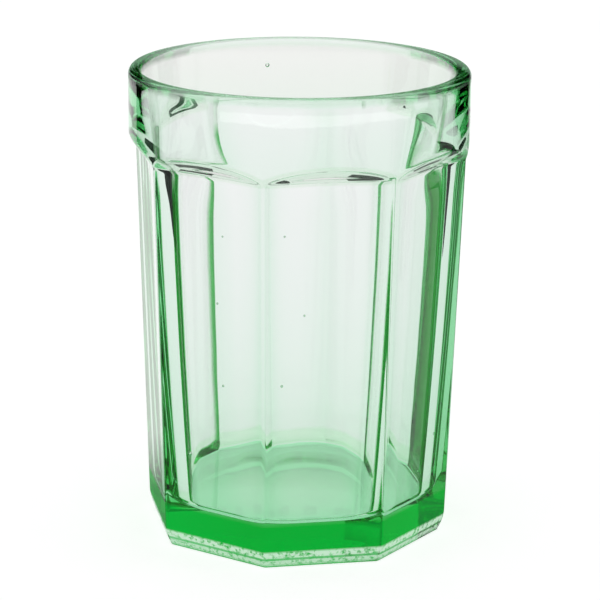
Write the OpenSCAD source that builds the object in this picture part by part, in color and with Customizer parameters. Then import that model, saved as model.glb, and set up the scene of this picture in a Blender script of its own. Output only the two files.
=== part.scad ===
/* [Overall] */
// Height of the tumbler from the table to the top of the lip
glass_h = 120; // [100:1:140]
// Diameter of the round band under the lip
band_d = 86; // [82:0.5:92]
// Height of the band, from the end of the flat facets to the top of the lip
band_h = 22; // [16:0.5:32]

/* [Facets] */
// Number of flat facets round the body
facet_count = 8; // [6:1:12]
// Diameter across the facet corners just above the heel
foot_corner_d = 78.6; // [72:0.2:82]
// How far the band stands out past the upper end of the facet corners
band_overhang = 0.4; // [0.2:0.1:1.2]
// Radius of the hollow curve that leads each facet into its arched shoulder
shoulder_hollow_r = 3; // [1.5:0.5:6]
// Radius of the rounded edge above each arched shoulder
shoulder_round_r = 10; // [6:0.5:14]
// How far that edge would swing past the face of the band, which sets its arched crease
shoulder_crease = 0.4; // [0.1:0.1:1]
// Width of the strip that the fire polish leaves along each facet corner
corner_strip_w = 0.9; // [0.4:0.1:2]

/* [Heel and underside] */
// Height of the sloping heel below the facets
heel_h = 3.1; // [2:0.1:5]
// Inward run of the heel, measured at the facet corners
heel_run = 1.7; // [1:0.1:3]
// Width of the flat ring that the glass stands on, at the middle of a facet
standing_ring_w = 6; // [3:0.5:10]
// Width of the slope from the standing ring up into the hollow
underside_slope_w = 8; // [4:0.5:14]
// Depth of the hollow inside the standing ring
underside_depth = 0.9; // [0.5:0.1:1.5]

/* [Inside] */
// Wall thickness of the band, just below the lip
band_wall = 3.6; // [3:0.1:5]
// Wall thickness at the middle of a facet, level with the floor
foot_wall = 6; // [4:0.1:8]
// Thickness of the glass between the table and the floor
floor_h = 10; // [7:0.5:14]
// Wall thickness at the middle of a facet, level with its upper end
shoulder_wall = 3; // [2.4:0.1:4]
// How far the inside corners reach past the inside flats at the floor
inside_corner_reach = 1; // [0.5:0.1:1.6]
// Radius of the curve between the floor and the wall
floor_curve_r = 2.5; // [1.5:0.5:6]
// Radius of the fire-polished lip, on its outer and on its inner edge
lip_r = 1.7; // [0.8:0.1:1.8]

/* [Hidden] */
// Segments of a full circle
circle_steps = 96;
// Overrun of every cut past the surface that it opens
cut_overrun = 2;

// Facet planes: their distance from the axis at the heel and at the shoulder
half_facet = 180 / facet_count;
band_r = band_d / 2;
facet_top_z = glass_h - band_h;
foot_flat_r = foot_corner_d / 2 * cos(half_facet);
shoulder_flat_r = (band_r - band_overhang) * cos(half_facet);
heel_flat_r = (foot_corner_d / 2 - heel_run) * cos(half_facet);
facet_tilt = atan((shoulder_flat_r - foot_flat_r) / (facet_top_z - heel_h));

// Round corner strips: the radius at which a circle leaves a strip of the stated width
strip_angle = asin(corner_strip_w / foot_corner_d);
strip_reach = 1 / cos(half_facet - strip_angle);

// Shoulder: the hollow curve and the rounded edge meet at one slope, side by side
shoulder_reach = band_r + shoulder_crease;
shoulder_depth = shoulder_reach - shoulder_flat_r;
shoulder_radii = shoulder_hollow_r + shoulder_round_r;
shoulder_slope = acos(
    (shoulder_hollow_r * cos(facet_tilt) + shoulder_round_r - shoulder_depth) / shoulder_radii
);
hollow_centre = [
    shoulder_flat_r + shoulder_hollow_r * cos(facet_tilt),
    facet_top_z - shoulder_hollow_r * sin(facet_tilt)
];
shoulder_turn = hollow_centre
    + shoulder_hollow_r * [-cos(shoulder_slope), sin(shoulder_slope)];
round_centre = shoulder_turn
    + shoulder_round_r * [-cos(shoulder_slope), sin(shoulder_slope)];

// Inside corners: a straight cone that touches the floor curve and the inner edge of the lip
floor_flat_r = foot_flat_r + (floor_h - heel_h) * tan(facet_tilt) - foot_wall;
floor_corner_r = floor_flat_r + inside_corner_reach;
lip_z = glass_h - lip_r;
outer_lip_centre = [band_r - lip_r, lip_z];
inner_lip_centre = [band_r - band_wall + lip_r, lip_z];
lip_reach = inner_lip_centre - [floor_corner_r, floor_h];
corner_tilt = atan(lip_reach.x / lip_reach.y) - asin(lip_r / norm(lip_reach));
corner_touch = floor_curve_r * tan((90 - corner_tilt) / 2);
corner_curve_centre = [floor_corner_r - corner_touch, floor_h + floor_curve_r];

// Inside flats: they lean out to the end of the facets, then swing out and end on the cone
shoulder_inside_r = shoulder_flat_r - shoulder_wall;
flat_tilt = atan((shoulder_inside_r - floor_flat_r) / (facet_top_z - floor_h));
flat_touch = floor_curve_r * tan((90 - flat_tilt) / 2);
flat_curve_centre = [floor_flat_r - flat_touch, floor_h + floor_curve_r];

// Underside: the radius at which the standing ring ends
underside_r = heel_flat_r - standing_ring_w;

// Pressed glass tumbler, one solid piece of pale green glass
module tumbler() {
    color([0.72, 0.9, 0.76, 0.55])
    difference() {
        rotate_extrude($fn = circle_steps) outer_profile();
        all_round() facet_profile();
        inside();
    }
}

// One side profile carried across the glass, once for each facet, with one facing the front
module all_round() {
    for (k = [0 : facet_count - 1])
        rotate([0, 0, k * 360 / facet_count - 90])
            rotate([90, 0, 0])
                linear_extrude(height = band_d, center = true)
                    children();
}

// Half section of the outside before the facets are cut: underside, corner strips, band and lip
module outer_profile() {
    polygon([
        [0, underside_depth],
        [underside_r - underside_slope_w, underside_depth],
        [underside_r, 0],
        [(foot_flat_r - heel_h * tan(facet_tilt)) * strip_reach, 0],
        [shoulder_flat_r * strip_reach, facet_top_z],
        [band_r, round_centre.y],
        [band_r, lip_z],
        [outer_lip_centre.x, glass_h],
        [0, glass_h]
    ]);
    translate(outer_lip_centre) circle(r = lip_r, $fn = circle_steps);
}

// The space inside: round at the corners and the mouth, with a flat opposite each facet
module inside() {
    difference() {
        rotate_extrude($fn = circle_steps) inside_profile();
        all_round() inside_flat_profile();
    }
}

// Half section of the round space: floor, floor curve, corner cone and flared mouth
module inside_profile() {
    difference() {
        union() {
            polygon([
                [0, floor_h],
                [corner_curve_centre.x, floor_h],
                [
                    floor_corner_r + corner_touch * sin(corner_tilt),
                    floor_h + corner_touch * cos(corner_tilt)
                ],
                inner_lip_centre + lip_r * [-cos(corner_tilt), sin(corner_tilt)],
                [inner_lip_centre.x, glass_h],
                [inner_lip_centre.x, glass_h + cut_overrun],
                [0, glass_h + cut_overrun]
            ]);
            translate(corner_curve_centre) circle(r = floor_curve_r, $fn = circle_steps);
        }
        translate(inner_lip_centre) circle(r = lip_r, $fn = circle_steps);
    }
}

// What one inside flat leaves standing, seen from its side: floor curve, flat and upper swing
module inside_flat_profile() {
    difference() {
        polygon([
            [flat_curve_centre.x, floor_h - cut_overrun],
            flat_curve_centre,
            [
                floor_flat_r + flat_touch * sin(flat_tilt),
                floor_h + flat_touch * cos(flat_tilt)
            ],
            [shoulder_inside_r, facet_top_z],
            inner_lip_centre,
            [band_d, lip_z],
            [band_d, floor_h - cut_overrun]
        ]);
        translate(flat_curve_centre) circle(r = floor_curve_r, $fn = circle_steps);
    }
}

// What one facet takes away, seen from its side: heel slope, flat, hollow and rounded edge
module facet_profile() {
    difference() {
        polygon([
            [band_d, -cut_overrun],
            [heel_flat_r, -cut_overrun],
            [heel_flat_r, 0],
            [foot_flat_r, heel_h],
            [shoulder_flat_r, facet_top_z],
            shoulder_turn,
            [shoulder_reach, round_centre.y],
            [band_d, round_centre.y]
        ]);
        intersection() {
            translate(round_centre) circle(r = shoulder_round_r, $fn = circle_steps);
            translate([0, shoulder_turn.y]) square([band_d, shoulder_round_r]);
        }
    }
    translate(hollow_centre) circle(r = shoulder_hollow_r, $fn = circle_steps);
}

tumbler();
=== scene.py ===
import math

import bpy
import numpy as np
from mathutils import Matrix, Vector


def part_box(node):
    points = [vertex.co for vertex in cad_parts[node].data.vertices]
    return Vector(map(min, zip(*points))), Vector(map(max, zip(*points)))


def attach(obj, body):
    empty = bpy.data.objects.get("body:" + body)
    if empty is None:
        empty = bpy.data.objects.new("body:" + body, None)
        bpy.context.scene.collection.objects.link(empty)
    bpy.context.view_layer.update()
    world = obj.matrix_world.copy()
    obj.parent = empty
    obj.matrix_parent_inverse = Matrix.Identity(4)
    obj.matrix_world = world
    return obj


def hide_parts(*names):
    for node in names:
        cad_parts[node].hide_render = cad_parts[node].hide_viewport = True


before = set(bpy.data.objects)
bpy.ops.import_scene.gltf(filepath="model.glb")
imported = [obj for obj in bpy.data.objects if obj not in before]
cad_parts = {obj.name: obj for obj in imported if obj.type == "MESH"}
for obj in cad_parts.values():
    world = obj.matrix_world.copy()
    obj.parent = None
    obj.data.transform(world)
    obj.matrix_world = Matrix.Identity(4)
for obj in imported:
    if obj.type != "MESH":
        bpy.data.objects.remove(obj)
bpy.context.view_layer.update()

# Sizes in millimetres, with the height and the band taken from the solid's own box
MM = 0.001
LOW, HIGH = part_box("tumbler")
GLASS_H = (HIGH[2] - LOW[2]) / MM
BAND_R = (HIGH[0] - LOW[0]) / 2 / MM

# Facets, with the radius of their corners at the heel and how far the band stands out past their top
FACETS = 8
FACET_TOP_Z = 97.0
FOOT_CORNER_R = 39.3
BAND_OVERHANG = 0.4
CORNER_SOFTNESS = 0.5

# Shoulder: where a facet starts to swing out, where its middle and its ends reach the band
SHOULDER_Z = 98.0
ARCH_Z, ARCH_END_Z = 104.0, 100.5
# Share of that swing that is hollow
HOLLOW_SHARE = 0.38

# Heel, standing ring and the hollow inside it
HEEL_H = 3.1
HEEL_RUN = 1.7
HEEL_SOFTNESS = 1.2
RING_W = 6.0
UNDERSIDE_DEPTH = 0.9

# Lip and inside, with the wall's inner radius at heights from the floor up
BAND_WALL = 3.6
LIP_R = 1.7
FLOOR_Z = 10.0
FLOOR_CURVE_R = 2.5
INSIDE_HEIGHTS = [FLOOR_Z, 25.0, 45.0, 70.0, 95.0]
INSIDE_RADII = [31.0, 32.4, 34.0, 35.6, 37.0]
# The inside's flats fade out below FLATS_END, and their corners are softened by a share of the radius
FLATS_END, FLATS_FADE = 110.0, 20.0
INSIDE_SOFTNESS = 0.2
# How far the inside lies to the photograph's left
INSIDE_SHIFT = 0.36

# Points across one facet, and how much they crowd towards its corners
FACET_STEPS, CROWDING = 48, 0.7
# Rings of points up the heel, the facets, the shoulder and the band, and the shoulder's two ends
HEEL_RINGS, FACET_RINGS, SHOULDER_RINGS, BAND_RINGS = 16, 12, 56, 5
SHOULDER_LOW_Z, SHOULDER_HIGH_Z = FACET_TOP_Z - 4, FACET_TOP_Z + 12
# Rings across the standing ring, its hollow, the lip, the inside wall, the floor curve and the floor
STANDING_RINGS, HOLLOW_RINGS = 6, 7
LIP_RINGS, WALL_RINGS, CURVE_RINGS, FLOOR_RINGS = 11, 49, 15, 7

# Small bubbles: turn in degrees from the photograph's front, height, distance from the axis, half size
SEEDS = [
    (192.4, 112.6, 41.0, 0.6),
    (-5.0, 85.7, 38.5, 0.25),
    (-28.4, 84.2, 37.8, 0.25),
    (-31.3, 66.9, 36.9, 0.28),
    (2.5, 65.6, 37.0, 0.25),
    (-5.9, 47.6, 36.8, 0.34),
    (-29.4, 45.8, 35.9, 0.3),
    (71.4, 27.6, 35.5, 0.35),
    (-47.2, 25.8, 35.3, 0.65),
]
SEED_RINGS, SEED_STEPS = 9, 12

# Camera: its lens and frame in pixels, its place in glass heights, and its angles
LENS_PX, FRAME_PX = 2795.3, 600
DISTANCE, HEIGHT, SIDE = 5.75365, 2.08528, -0.005268
PITCH, ROLL, ROUND = 0.27005, 0.010456, math.radians(-11.0324)

HALF_FACET = math.pi / FACETS
FLAT_SHARE = math.cos(HALF_FACET)


# Shapes


def soft_min(a, b, reach):
    """The smaller of a and b, with the edge between them rounded.

    Where they are closer than reach, it is less by reach / 4 * (1 - |a - b| / reach)^2.
    """
    near = np.maximum(reach - np.abs(a - b), 0) / reach
    return np.minimum(a, b) - near * near * reach / 4


def from_middle(turn):
    """The angle between turn and the middle of the facet that it falls in."""
    return np.mod(turn + HALF_FACET, 2 * HALF_FACET) - HALF_FACET


def eight_sided(turn, reach, softness):
    """Radius, at angle turn, of a shape with eight flats that lie reach from the axis.

    A flat's radius is reach / cos(angle from its middle). The smaller of the nearest two counts.
    """
    off = np.abs(from_middle(turn))
    return soft_min(reach / np.cos(off), reach / np.cos(2 * HALF_FACET - off), softness)


def facet_distance(z):
    """Distance of a facet from the axis at height z.

    The heel slopes out straight up to HEEL_H, and from there the facet leans out straight. The
    smaller of the two lines counts, with the edge between them softened.
    """
    foot = FOOT_CORNER_R * FLAT_SHARE
    shoulder = (BAND_R - BAND_OVERHANG) * FLAT_SHARE
    face = foot + (shoulder - foot) / (FACET_TOP_Z - HEEL_H) * (z - HEEL_H)
    heel_foot = (FOOT_CORNER_R - HEEL_RUN) * FLAT_SHARE
    heel = heel_foot + (foot - heel_foot) / HEEL_H * z
    return soft_min(face, heel, HEEL_SOFTNESS)


def shoulder_share(turn, z):
    """How far the outside has swung from the flat facets, 0, to the round band, 1.

    t runs from 0 at SHOULDER_Z to 1 at an arch that is highest in the middle of the facet. The
    share is t^2 / h in the hollow, where t is under h, and 1 - (1 - t)^2 / (1 - h) above it.
    """
    arch = ARCH_Z - (ARCH_Z - ARCH_END_Z) * (from_middle(turn) / HALF_FACET) ** 2
    t = np.clip((z - SHOULDER_Z) / (arch - SHOULDER_Z), 0, 1)
    hollow = t**2 / HOLLOW_SHARE
    rounded = 1 - (1 - t) ** 2 / (1 - HOLLOW_SHARE)
    return np.where(t < HOLLOW_SHARE, hollow, rounded)


def outside_radius(turn, z):
    """Radius of the outside at angle turn and height z: eight flats that swing out to the band."""
    flats = eight_sided(turn, facet_distance(z), CORNER_SOFTNESS)
    return flats + shoulder_share(turn, z) * (BAND_R - flats)


def smooth_curve(heights, radii, end_slope):
    """A function that gives the radius at a height, and the slope at its lowest point.

    It is a cubic between each two points. Its slope at a point is the harmonic mean of the slopes
    on either side, at the first point the first stretch's slope, and at the last end_slope.
    """
    heights, radii = np.asarray(heights), np.asarray(radii)
    step = np.diff(heights)
    rise = np.diff(radii) / step
    slope = np.zeros(len(heights))
    slope[1:-1] = 2 * rise[1:] * rise[:-1] / (rise[1:] + rise[:-1])
    slope[0], slope[-1] = rise[0], end_slope

    def radius(z):
        k = np.clip(np.searchsorted(heights, z) - 1, 0, len(heights) - 2)
        t = (z - heights[k]) / step[k]
        return (
            (2 * t**3 - 3 * t**2 + 1) * radii[k]
            + (t**3 - 2 * t**2 + t) * step[k] * slope[k]
            + (3 * t**2 - 2 * t**3) * radii[k + 1]
            + (t**3 - t**2) * step[k] * slope[k + 1]
        )

    return radius, slope[0]


def inside_section():
    """Points (radius, z) of the inside, from the top of the lip down to near the floor's middle.

    They follow the lip's arc, a quarter turn less the wall's lean, then the smooth wall, then the
    floor's arc, which touches the wall and the floor, and the flat floor.
    """
    lip_r, lip_z = BAND_R - BAND_WALL + LIP_R, GLASS_H - LIP_R
    run, rise = lip_r - INSIDE_RADII[-1], lip_z - INSIDE_HEIGHTS[-1]
    lean = math.atan2(run, rise) - math.asin(LIP_R / math.hypot(run, rise))
    turn = math.pi / 2 + np.linspace(0, 1, LIP_RINGS) * (math.pi / 2 - lean)
    lip = np.stack([lip_r + LIP_R * np.cos(turn), lip_z + LIP_R * np.sin(turn)], 1)

    radius, first_slope = smooth_curve(
        INSIDE_HEIGHTS + [lip[-1, 1]], INSIDE_RADII + [lip[-1, 0]], math.tan(lean)
    )
    tilt = math.atan(first_slope)
    touch = FLOOR_CURVE_R * math.tan((math.pi / 2 - tilt) / 2)
    z = np.linspace(lip[-1, 1], FLOOR_Z + touch * math.cos(tilt), WALL_RINGS)[1:]
    wall = np.stack([radius(z), z], 1)
    wall[-1, 0] = INSIDE_RADII[0] + touch * math.sin(tilt)

    turn = -tilt - np.linspace(0, 1, CURVE_RINGS)[1:] * (math.pi / 2 - tilt)
    centre = np.array([INSIDE_RADII[0] - touch, FLOOR_Z + FLOOR_CURVE_R])
    curve = centre + FLOOR_CURVE_R * np.stack([np.cos(turn), np.sin(turn)], 1)
    floor_r = np.linspace(centre[0], 0, FLOOR_RINGS)[1:-1]
    floor = np.stack([floor_r, np.full_like(floor_r, FLOOR_Z)], 1)
    return np.concatenate([lip, wall, curve, floor])


def facet_angles():
    """Angles round the glass, closer together near the facet corners.

    On each facet they are HALF_FACET * (u + CROWDING * sin(pi u) / pi), for u from -1 to 1.
    """
    u = np.linspace(-1, 1, FACET_STEPS, endpoint=False)
    u = u + CROWDING * np.sin(math.pi * u) / math.pi
    return (np.arange(FACETS)[:, None] * 2 * HALF_FACET + HALF_FACET * u).ravel()


def underside_rings(foot):
    """Radii and heights of the underside, from near its middle out to the edge of the foot.

    The standing ring is flat. In the hollow inside it, at a share s of the hollow's radius, the
    height is UNDERSIDE_DEPTH * (1 - s^2).
    """
    one = np.ones_like(foot)
    ring_end = (FOOT_CORNER_R - HEEL_RUN) * FLAT_SHARE - RING_W
    share = np.linspace(0, 1, STANDING_RINGS)[1:, None]
    ring_r = foot * (1 - share) + ring_end * share
    share = np.linspace(1, 0, HOLLOW_RINGS)[1:-1, None]
    hollow_r = ring_end * share * one
    hollow_z = UNDERSIDE_DEPTH * (1 - share**2) * one
    return np.concatenate([ring_r, hollow_r])[::-1], np.concatenate([0 * ring_r, hollow_z])[::-1]


def outside_rings(turn):
    """Radii and heights of the outside, from the table up to the top of the lip."""
    one = np.ones_like(turn)
    lip_z = GLASS_H - LIP_R
    z = np.concatenate(
        [
            np.linspace(0, HEEL_H * 2, HEEL_RINGS),
            np.linspace(HEEL_H * 2, SHOULDER_LOW_Z, FACET_RINGS)[1:],
            np.linspace(SHOULDER_LOW_Z, SHOULDER_HIGH_Z, SHOULDER_RINGS)[1:],
            np.linspace(SHOULDER_HIGH_Z, lip_z, BAND_RINGS)[1:],
        ]
    )[:, None]
    arc = np.linspace(0, math.pi / 2, LIP_RINGS)[1:, None]
    lip_r = (BAND_R - LIP_R + LIP_R * np.cos(arc)) * one
    lip_top = (lip_z + LIP_R * np.sin(arc)) * one
    return np.concatenate([outside_radius(turn, z), lip_r]), np.concatenate([z * one, lip_top])


def inside_rings(turn):
    """Radii and heights of the inside, from the top of the lip down to near the floor's middle.

    A radius is the section's * (1 + f * how far eight flats at distance 1 lie from their mean).
    f is 3 t^2 - 2 t^3, where t goes from 0 at FLATS_END to 1 at FLATS_FADE below it.
    """
    section = inside_section()
    flats = eight_sided(turn, 1, INSIDE_SOFTNESS)
    t = np.clip((FLATS_END - section[:, 1:]) / FLATS_FADE, 0, 1)
    flatness = t**2 * (3 - 2 * t)
    inside_r = section[:, :1] * (1 + flatness * (flats - flats.mean()))
    return inside_r, section[:, 1:] * np.ones_like(turn)


def glass_skin():
    """The whole surface of the glass as rings of points (r sin a, -r cos a, z).

    They go from the middle of the underside out and up the outside, over the lip and down the
    inside to the middle of the floor.
    """
    turn = facet_angles()
    outside_r, outside_z = outside_rings(turn)
    under_r, under_z = underside_rings(outside_r[0])
    inside_r, inside_z = inside_rings(turn)
    r = np.concatenate([under_r, outside_r, inside_r])
    z = np.concatenate([under_z, outside_z, inside_z])
    points = np.stack([r * np.sin(turn), -r * np.cos(turn), z], -1)
    photo_right = np.array([math.cos(ROUND), math.sin(ROUND), 0])
    points[-len(inside_r) :] -= INSIDE_SHIFT * photo_right
    return points


def seed_skins():
    """Each small bubble as a ball of rings, centre + half * (sin a sin t, -sin a cos t, cos a).

    The rings count from its top down, so that its skin faces the air in it.
    """
    for turn, z, r, half in SEEDS:
        turn = math.radians(turn) + ROUND
        centre = np.array([r * math.sin(turn), -r * math.cos(turn), z])
        a = np.linspace(0, math.pi, SEED_RINGS)[1:-1, None]
        t = np.linspace(0, 2 * math.pi, SEED_STEPS, endpoint=False)
        ball = [np.sin(a) * np.sin(t), -np.sin(a) * np.cos(t), np.cos(a) + 0 * t]
        yield centre + half * np.stack(ball, -1), centre + [0, 0, half], centre - [0, 0, half]


def skin_mesh(name, skins):
    """A mesh of closed skins, each given as its rings and the points at its two ends.

    Four-sided faces join every ring to the next, and a fan of triangles closes each end.
    """
    points, faces, used = [], [], 0
    for rings, first, last in skins:
        count, around = rings.shape[:2]
        points += rings.reshape(-1, 3).tolist() + [list(first), list(last)]
        i = np.arange(count - 1)[:, None] * around
        j = np.arange(around)
        k = (j + 1) % around
        quads = np.stack([i + j, i + k, i + around + k, i + around + j], -1).reshape(-1, 4)
        end = count * around
        last_ring = end - around
        first_fan = np.stack([np.full(around, end), k, j], 1)
        last_fan = np.stack([np.full(around, end + 1), last_ring + j, last_ring + k], 1)
        for part in (quads, first_fan, last_fan):
            faces += (part + used).tolist()
        used += end + 2
    mesh = bpy.data.meshes.new(name)
    mesh.from_pydata((np.array(points) * MM).tolist(), [], faces)
    mesh.shade_smooth()
    return mesh


# Values of the materials, with colours as red, green and blue

# What the glass shows of the floor near it, and of the floor far off and the surround
NEAR_VIEW, FAR_VIEW = (1.146, 0.94, 1.088), (1.005, 0.893, 0.95)
# Distances from the glass, in metres, between which the one goes over into the other
NEAR_REACH, FAR_REACH = 0.36, 0.42
# What glancing rays see
MIRRORED = (0.02, 0.02, 0.02)
# They see the floor white up to 45 degrees either side of this turn from +Y, with a soft edge in metres
WHITE_TURN, WHITE_EDGE = ROUND, 0.05
# The surround's light on everything else, and the floor's grey, its grain and the light it throws back
SKY_LIGHT = 0.6
FLOOR_SHADE, FLOOR_GRAIN, FLOOR_LIT = 0.5, 0.01, 0.285

# The glass bends light by GLASS_IOR and takes this much red, green and blue from it per metre
GLASS_IOR = 1.5
ABSORBED = np.array([40.0, 8.5, 30.0])

# Below, a pair in brackets says where something starts and where it is full, in mm or as a slant

# Radius past which the glass counts as outside, and the wall's middle, which leans out with height
OUTSIDE_R = (33.0, 35.0)
WALL_MIDDLE_R, WALL_LEAN = 34.6, 0.04

# Deep green of the foot and its painted green glow, between two heights, with how much of it light on its
# way out misses
FOOT_TINT, FOOT_PAINTED_GLOW = (0, 0.82, 0.05), (0, 0.4, 0.045)
FOOT_LOW, FOOT_HIGH = (2.6, 3.6), (12.0, 11.0)
FOOT_MISSED = 0.75
# Share of the painted glow on the foot
FOOT_PAINTED_GLOW_SHARE = 0.5

# Tint of light that leaves through the underside
UNDER_TINT = (0.42, 0.98, 0.62)
UNDER_Z = (1.5, 0.5)

# Slants are 1 less the cosine between a ray and the surface's normal: 0 is straight on, 1 is flat along
SKIM_TINT = (0.0001, 0.16, 0.002)
SKIM_SLANT = (0.72, 0.8)
# Deeper glass where rays enter the inside wall at a slant, or leave just short of being mirrored
DEEP_TINT, DEEP_SHARE = (0.004, 0.5, 0.05), 0.95
ENTER_SLANT, ENTER_Z = (0.56, 0.66), (12.0, 15.0)
LEAVE_SLANT, LEAVE_SLANT_END = (0.215, 0.235), (0.256, 0.252)
DEEP_LOW, DEEP_HIGH = (1.5, 2.5), (94.0, 90.0)

# Clear pale green, for shadows and for its share of the lip
CLEAR_TINT = (0.85, 0.95, 0.88)
LIP_SHARE, LIP_TINT_Z = 0.5, (117.0, 118.4)

# Ground strip on the heel: its colour, its painted glow, its speckle, and its share up to GROUND_H
GROUND_TINT, GROUND_PAINTED_GLOW = (0.75, 0.97, 0.8), (0.3, 0.42, 0.32)
GROUND_SPECKLE = (0.275, 0.525)
GROUND_H = 5.0
GROUND_SHARES = [
    (0.0, 0.0), (0.07, 0.1), (0.11, 0.75), (0.15, 0.4), (0.2, 0.8), (0.38, 0.75),
    (0.42, 0.1), (0.5, 0.15), (0.56, 0.9), (0.8, 0.9), (0.94, 0.0),
]

# Greys of the dark cloth at the two ends of its weave, and the bright cloth's light with its weave's
DARK_SHADES = [(0.0, 0.002), (1.0, 0.006)]
BRIGHT_LIGHT, BRIGHT_WEAVE = 1.9, 0.2
# Threads of both cloths, waves of the glass, speckles of the ground strip and grains of the floor, per metre
WEAVE_SCALE, WAVE_SCALE, SPECKLE_SCALE, FLOOR_SCALE = 300.0, 45.0, 900.0, 60.0
# Depth of the waves of the glass, in metres, and how strongly they show
WAVE_DEPTH, WAVE_STRENGTH = 0.0002, 0.25


# Materials


class Number:
    """A socket that varies over a surface.

    Sums of it with numbers or other such sockets add their own Math nodes.
    """

    def __init__(self, maker, socket):
        self.maker, self.socket = maker, socket

    def math(self, operation, *values):
        return self.maker.node("ShaderNodeMath", {"operation": operation}, values)

    def __add__(self, other):
        return self.math("ADD", self, other)

    def __radd__(self, other):
        return self.math("ADD", other, self)

    def __sub__(self, other):
        return self.math("SUBTRACT", self, other)

    def __rsub__(self, other):
        return self.math("SUBTRACT", other, self)

    def __mul__(self, other):
        return self.math("MULTIPLY", self, other)

    def __rmul__(self, other):
        return self.math("MULTIPLY", other, self)

    def __truediv__(self, other):
        return self.math("DIVIDE", self, other)

    def larger(self, other):
        return self.math("MAXIMUM", self, other)

    def root(self):
        return self.math("SQRT", self)

    def clamped(self):
        return self.math("MINIMUM", self.larger(0), 1)

    def climb(self, start, full):
        """(self - start) / (full - start), which climbs from 0 at start to 1 at full and stays there."""
        return ((self - start) / (full - start)).clamped()


class Maker:
    """Adds nodes to one node tree."""

    def __init__(self, owner):
        owner.use_nodes = True
        self.tree = owner.node_tree
        self.tree.nodes.clear()

    def node(self, kind, settings=None, values=(), output=0):
        """Adds a node of that kind and gives its output as a Number.

        Its settings come first, with a ramp's stops as (place, grey), then the values or links of
        its sockets. A colour is given as three numbers and gets its fourth, 1, here.
        """
        made = self.tree.nodes.new(kind)
        for name, value in (settings or {}).items():
            if name == "stops":
                ramp = made.color_ramp
                while len(ramp.elements) < len(value):
                    ramp.elements.new(0.5)
                for element, (place, shade) in zip(ramp.elements, value):
                    element.position = place
                    element.color = (shade, shade, shade, 1)
            else:
                setattr(made, name, value)
        pairs = values.items() if isinstance(values, dict) else enumerate(values)
        for name, value in pairs:
            socket = made.inputs[name]
            if isinstance(value, Number):
                self.tree.links.new(value.socket, socket)
            else:
                socket.default_value = (*value, 1) if socket.type == "RGBA" else value
        return Number(self, made.outputs[output]) if made.outputs else None


def material(name):
    """A new material of that name, and the Maker of its nodes."""
    made = bpy.data.materials.new(name)
    return made, Maker(made)


def object_place(make):
    """The place on the object, in metres, as one Number for patterns."""
    return make.node("ShaderNodeTexCoord", output="Object")


def axes(make, place, names):
    """The named axes of a place."""
    return [make.node("ShaderNodeSeparateXYZ", values=(place,), output=name) for name in names]


def grain(make, place, scale, detail=2.0):
    """A random pattern from about 0 to 1, with so many waves to the metre."""
    values = {"Vector": place, "Scale": scale, "Detail": detail}
    return make.node("ShaderNodeTexNoise", values=values)


def shades(make, value, stops):
    """The grey at value, between stops of (value, grey)."""
    return make.node("ShaderNodeValToRGB", {"stops": stops}, (value,))


def blend(make, share, first, second):
    """The first colour where share is 0 and the second where it is 1."""
    values = {0: share, 6: first, 7: second}
    return make.node("ShaderNodeMix", {"data_type": "RGBA"}, values, output=2)


def mix(make, share, first, second):
    """The first shader where share is 0 and the second where it is 1."""
    return make.node("ShaderNodeMixShader", values=(share, first, second))


def glow(make, colour):
    """A surface that gives out that light."""
    return make.node("ShaderNodeEmission", values={"Color": colour, "Strength": 1.0})


def ground_strip(make, place, height):
    """The matt strip on the heel with a painted glow added, and its share at a height: stops up to GROUND_H,
    speckled.
    """
    matt = make.node("ShaderNodeBsdfDiffuse", values={"Color": GROUND_TINT})
    # Painted glow added to the matt strip
    strip = make.node("ShaderNodeAddShader", values=(matt, glow(make, GROUND_PAINTED_GLOW)))
    speckle = grain(make, place, SPECKLE_SCALE).climb(*GROUND_SPECKLE)
    return strip, shades(make, height / GROUND_H, GROUND_SHARES) * speckle


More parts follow.
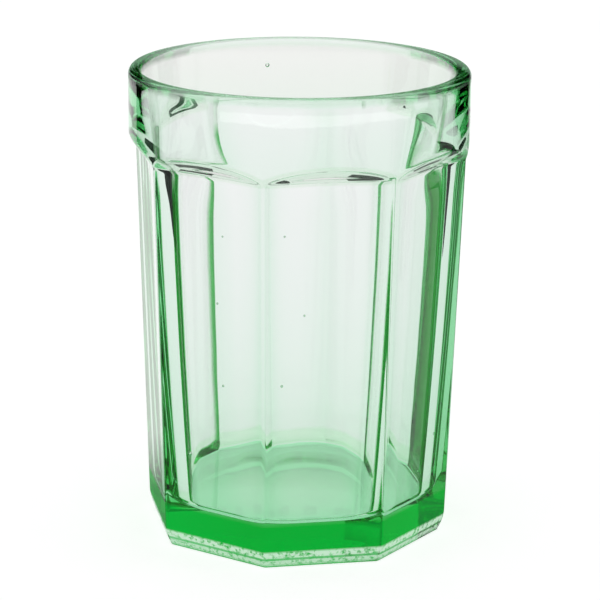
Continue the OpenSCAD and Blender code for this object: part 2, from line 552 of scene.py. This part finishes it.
def green_glass():
    """Pale green pressed glass, clear and smooth, and greener where light goes far through it.

    It is deepest in the thick foot, where rays skim the inside wall, and where they leave just
    short of being mirrored. The foot also has a painted green glow. The heel has a ground strip
    with a painted glow, and the lip is partly clear.
    """
    glass, make = material("green_glass")
    place = object_place(make)
    x, y, z = axes(make, place, "XYZ")
    radius, height = (x * x + y * y).root() / MM, z / MM
    leaving = make.node("ShaderNodeNewGeometry", output="Backfacing")
    entering = 1 - leaving
    slant = make.node("ShaderNodeLayerWeight", values={"Blend": 0.5}, output="Facing")
    outside = radius.climb(*OUTSIDE_R)
    inside = (WALL_MIDDLE_R + WALL_LEAN * height - radius).clamped() * entering

    foot = height.climb(*FOOT_LOW) * height.climb(*FOOT_HIGH) * outside * (1 - FOOT_MISSED * leaving)
    tint = blend(make, foot, (1, 1, 1), FOOT_TINT)
    tint = blend(make, slant.climb(*SKIM_SLANT) * inside, tint, SKIM_TINT)
    tint = blend(make, height.climb(*UNDER_Z) * leaving, tint, UNDER_TINT)
    waves = grain(make, place, WAVE_SCALE, detail=1.0)
    normal = make.node(
        "ShaderNodeBump",
        values={"Strength": WAVE_STRENGTH, "Distance": WAVE_DEPTH, "Height": waves},
    )
    body = make.node(
        "ShaderNodeBsdfPrincipled",
        values={
            "Base Color": tint,
            "Roughness": 0.0,
            "IOR": GLASS_IOR,
            "Transmission Weight": 1.0,
            "Normal": normal,
        },
    )
    # Painted green glow on the foot, for rays that enter it
    body = mix(make, FOOT_PAINTED_GLOW_SHARE * foot * entering, body, glow(make, FOOT_PAINTED_GLOW))

    # Ground strip on the heel: a matt surface with a painted glow
    strip, ground = ground_strip(make, place, height)
    body = mix(make, ground * outside * entering, body, strip)

    deep = make.node(
        "ShaderNodeBsdfGlass", values={"Color": DEEP_TINT, "Roughness": 0.0, "IOR": GLASS_IOR}
    )
    enters = slant.climb(*ENTER_SLANT) * height.climb(*ENTER_Z) * inside
    leaves = slant.climb(*LEAVE_SLANT) * slant.climb(*LEAVE_SLANT_END) * leaving
    share = DEEP_SHARE * (enters + leaves) * height.climb(*DEEP_LOW) * height.climb(*DEEP_HIGH)
    body = mix(make, share, body, deep)

    clear = make.node("ShaderNodeBsdfTransparent", values={"Color": CLEAR_TINT})
    body = mix(make, LIP_SHARE * height.climb(*LIP_TINT_Z), body, clear)
    shadow = make.node("ShaderNodeLightPath", output="Is Shadow Ray")
    density = float(ABSORBED.max())
    depth = make.node(
        "ShaderNodeVolumeAbsorption",
        values={"Color": 1 - ABSORBED / density, "Density": density},
    )
    surface = mix(make, shadow, body, clear)
    make.node("ShaderNodeOutputMaterial", values={"Surface": surface, "Volume": depth})
    return glass


def seen_light(make, seen, behind, glanced, thrown):
    """One colour for each way that light is met.

    The camera meets the first, rays that come through glass the second, rays that only glance
    off it the third, and everything else the fourth.
    """
    camera, glossy, through = [
        make.node("ShaderNodeLightPath", output=f"Is {kind} Ray")
        for kind in ("Camera", "Glossy", "Transmission")
    ]
    crossed = make.node("ShaderNodeLightPath", output="Transmission Depth").clamped()
    met = blend(make, crossed, glanced, behind)
    colour = blend(make, glossy.larger(through), thrown, met)
    return blend(make, camera, colour, seen)


def pale_floor():
    """A matt pale floor that shows as white where nothing shades it.

    What each kind of ray meets is split in two: FLOOR_LIT comes from the light that falls on the
    floor, and the rest is the floor's own glow. Beyond the glass, glancing rays meet it white
    where the distance along WHITE_TURN is more than the distance to either side of it.
    """
    floor, make = material("pale_floor")
    place = object_place(make)
    stops = [(0.0, FLOOR_SHADE - FLOOR_GRAIN), (1.0, FLOOR_SHADE + FLOOR_GRAIN)]
    colour = shades(make, grain(make, place, FLOOR_SCALE), stops)
    matt = make.node("ShaderNodeBsdfDiffuse", values={"Color": colour})

    x, y = axes(make, place, "XY")
    far = (x * x + y * y).root().climb(NEAR_REACH, FAR_REACH)
    white, near_view, far_view = [
        [shade - FLOOR_LIT for shade in view] for view in ((1, 1, 1), NEAR_VIEW, FAR_VIEW)
    ]
    along = math.sin(WHITE_TURN) * x + math.cos(WHITE_TURN) * y
    aside = math.cos(WHITE_TURN) * x - math.sin(WHITE_TURN) * y
    beyond = (along - aside.larger(0 - aside)).climb(0, WHITE_EDGE)
    colour = seen_light(
        make,
        white,
        blend(make, far, near_view, far_view),
        blend(make, beyond, MIRRORED, white),
        (0, 0, 0),
    )
    both = make.node("ShaderNodeAddShader", values=(matt, glow(make, colour)))
    make.node("ShaderNodeOutputMaterial", values={"Surface": both})
    return floor


def dark_cloth(name, always):
    """Dull black cloth.

    With always 0 it only shows in light that the glass has mirrored inside, so that nothing dark
    stands behind the glass from any side.
    """
    cloth, make = material(name)
    weave = grain(make, object_place(make), WEAVE_SCALE)
    colour = shades(make, weave, DARK_SHADES)
    matt = make.node("ShaderNodeBsdfDiffuse", values={"Color": colour})
    clear = make.node("ShaderNodeBsdfTransparent", values={"Color": (1, 1, 1)})
    mirrored = make.node("ShaderNodeLightPath", output="Glossy Depth") + always
    surface = mix(make, mirrored.clamped(), clear, matt)
    make.node("ShaderNodeOutputMaterial", values={"Surface": surface})
    return cloth


def bright_cloth():
    """White cloth that glows softly."""
    cloth, make = material("bright_cloth")
    weave = grain(make, object_place(make), WEAVE_SCALE)
    surface = glow(make, BRIGHT_LIGHT + BRIGHT_WEAVE * weave)
    make.node("ShaderNodeOutputMaterial", values={"Surface": surface})
    return cloth


def soft_world():
    """White to the eye and through the glass, and a plain pale light on everything else."""
    world = bpy.data.worlds.new("studio")
    make = Maker(world)
    colour = seen_light(make, (1, 1, 1), FAR_VIEW, MIRRORED, [SKY_LIGHT] * 3)
    sky = make.node("ShaderNodeBackground", values={"Color": colour})
    make.node("ShaderNodeOutputWorld", values={"Surface": sky})
    return world


# The glass


def add_object(name, data, place=None):
    """A new object in the scene, at the origin or where the matrix place puts it."""
    made = bpy.data.objects.new(name, data)
    if place is not None:
        made.matrix_world = Matrix(place.tolist())
    bpy.context.scene.collection.objects.link(made)
    return made


glass_ends = (0, 0, UNDERSIDE_DEPTH), (0, 0, FLOOR_Z)
tumbler_skins = [(glass_skin(), *glass_ends), *seed_skins()]
tumbler = add_object("tumbler_glass", skin_mesh("tumbler_glass", tumbler_skins))
tumbler.data.materials.append(green_glass())
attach(tumbler, "root")
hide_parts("tumbler")


# Camera, at the photograph's angle


def placed(right, up, back, place):
    """The matrix of an object whose own axes point right, up and back, at place."""
    matrix = np.eye(4)
    matrix[:3] = np.stack([right, up, back, place], 1)
    return matrix


def photo_camera():
    """The camera, DISTANCE glass heights away and HEIGHT up, turned ROUND about the glass.

    It looks down by PITCH, with a small ROLL about the way that it looks.
    """
    c, s = math.cos(ROUND), math.sin(ROUND)
    spin = np.array([[c, -s, 0], [s, c, 0], [0, 0, 1]])
    place = spin @ [-SIDE, -DISTANCE, HEIGHT] * GLASS_H * MM
    ahead = spin @ [0, math.cos(PITCH), -math.sin(PITCH)]
    up = spin @ [0, math.sin(PITCH), math.cos(PITCH)]
    right = spin @ [1, 0, 0]
    c, s = math.cos(ROLL), math.sin(ROLL)
    data = bpy.data.cameras.new("camera")
    data.sensor_width = 36
    data.lens = LENS_PX / FRAME_PX * data.sensor_width
    data.clip_start = 0.01
    return add_object("camera", data, placed(c * right + s * up, c * up - s * right, -ahead, place))


bpy.context.scene.camera = photo_camera()


# Floor, cards, surround and lamps, in metres

# Half the floor's width, and how far under the glass it lies
FLOOR_HALF, FLOOR_DROP = 4, 0.00005
# Steps along each card, and distances of the dark cards and of the bright one from the axis
CARD_STEPS = 12
CARD_DISTANCE, FRONT_DISTANCE = 0.2, 0.3
# Width of the square lamps, and the middle of the glass, which they face
LAMP_SIZE, LAMP_AIM = 0.8, np.array([0, 0, 0.06])


def stage_sheet(name, points, faces, finish):
    """A stage piece of those points and faces."""
    mesh = bpy.data.meshes.new(name)
    mesh.from_pydata(points, [], faces)
    mesh.materials.append(finish)
    made = add_object(name, mesh)
    return made


corners = [(x * FLOOR_HALF, y * FLOOR_HALF) for x, y in ((-1, -1), (1, -1), (1, 1), (-1, 1))]
stage_sheet("floor", [(*corner, -FLOOR_DROP) for corner in corners], [(0, 1, 2, 3)], pale_floor())


def curved_card(name, first, last, distance, low, high, finish):
    """An upright card, part of a cylinder round the glass: distance * (sin a, cos a).

    The angle a goes from first to last, in degrees from straight behind the glass. The lower edge
    runs straight from low[0] to low[1], and the upper edge is level at high. Only rays that come
    by way of glass or gloss see it.
    """
    a = np.radians(np.linspace(first, last, CARD_STEPS + 1)) - ROUND
    edge = distance * np.stack([np.sin(a), np.cos(a), 0 * a], 1)
    lower, upper = edge.copy(), edge + [0, 0, high]
    lower[:, 2] = np.linspace(*low, CARD_STEPS + 1)
    i = np.arange(CARD_STEPS)
    above = i + CARD_STEPS + 1
    faces = np.stack([i, i + 1, above + 1, above], 1).tolist()
    card = stage_sheet(name, np.concatenate([lower, upper]).tolist(), faces, finish)
    card.visible_camera = card.visible_diffuse = card.visible_shadow = False


cloth, bar_cloth = dark_cloth("dark_cloth", always=0), dark_cloth("bar_cloth", always=1)
curved_card("card_left", -100, -51, CARD_DISTANCE, (0.01, 0.06), 0.11, cloth)
curved_card("card_right", 36, 66, CARD_DISTANCE, (0.07, 0.01), 0.11, cloth)
curved_card("bar_left", -28, -8, CARD_DISTANCE, (0.115, 0.115), 0.145, bar_cloth)
curved_card("bar_right", 8, 28, CARD_DISTANCE, (0.115, 0.115), 0.145, bar_cloth)
curved_card("card_front", 106, 230, FRONT_DISTANCE, (0.0592, 0.0592), 0.0645, bright_cloth())

bpy.context.scene.world = soft_world()


def soft_lamp(name, place, power):
    """A square area lamp at place that faces LAMP_AIM."""
    data = bpy.data.lights.new(name, "AREA")
    data.shape = "SQUARE"
    data.size = LAMP_SIZE
    data.energy = power
    back = (place - LAMP_AIM) / np.linalg.norm(place - LAMP_AIM)
    right = np.cross([0, 0, 1], back)
    right /= np.linalg.norm(right)
    add_object(name, data, placed(right, np.cross(back, right), back, place))


soft_lamp("lamp_key", np.array([-1.4, -1.2, 1.9]), power=3)
soft_lamp("lamp_fill", np.array([1.7, -0.8, 1.6]), power=1.5)

bpy.context.scene.view_settings.view_transform = "Standard"
bpy.context.scene.cycles.max_bounces = 24
bpy.context.scene.cycles.transmission_bounces = 24
bpy.context.scene.cycles.glossy_bounces = 12
bpy.context.scene.cycles.transparent_max_bounces = 16
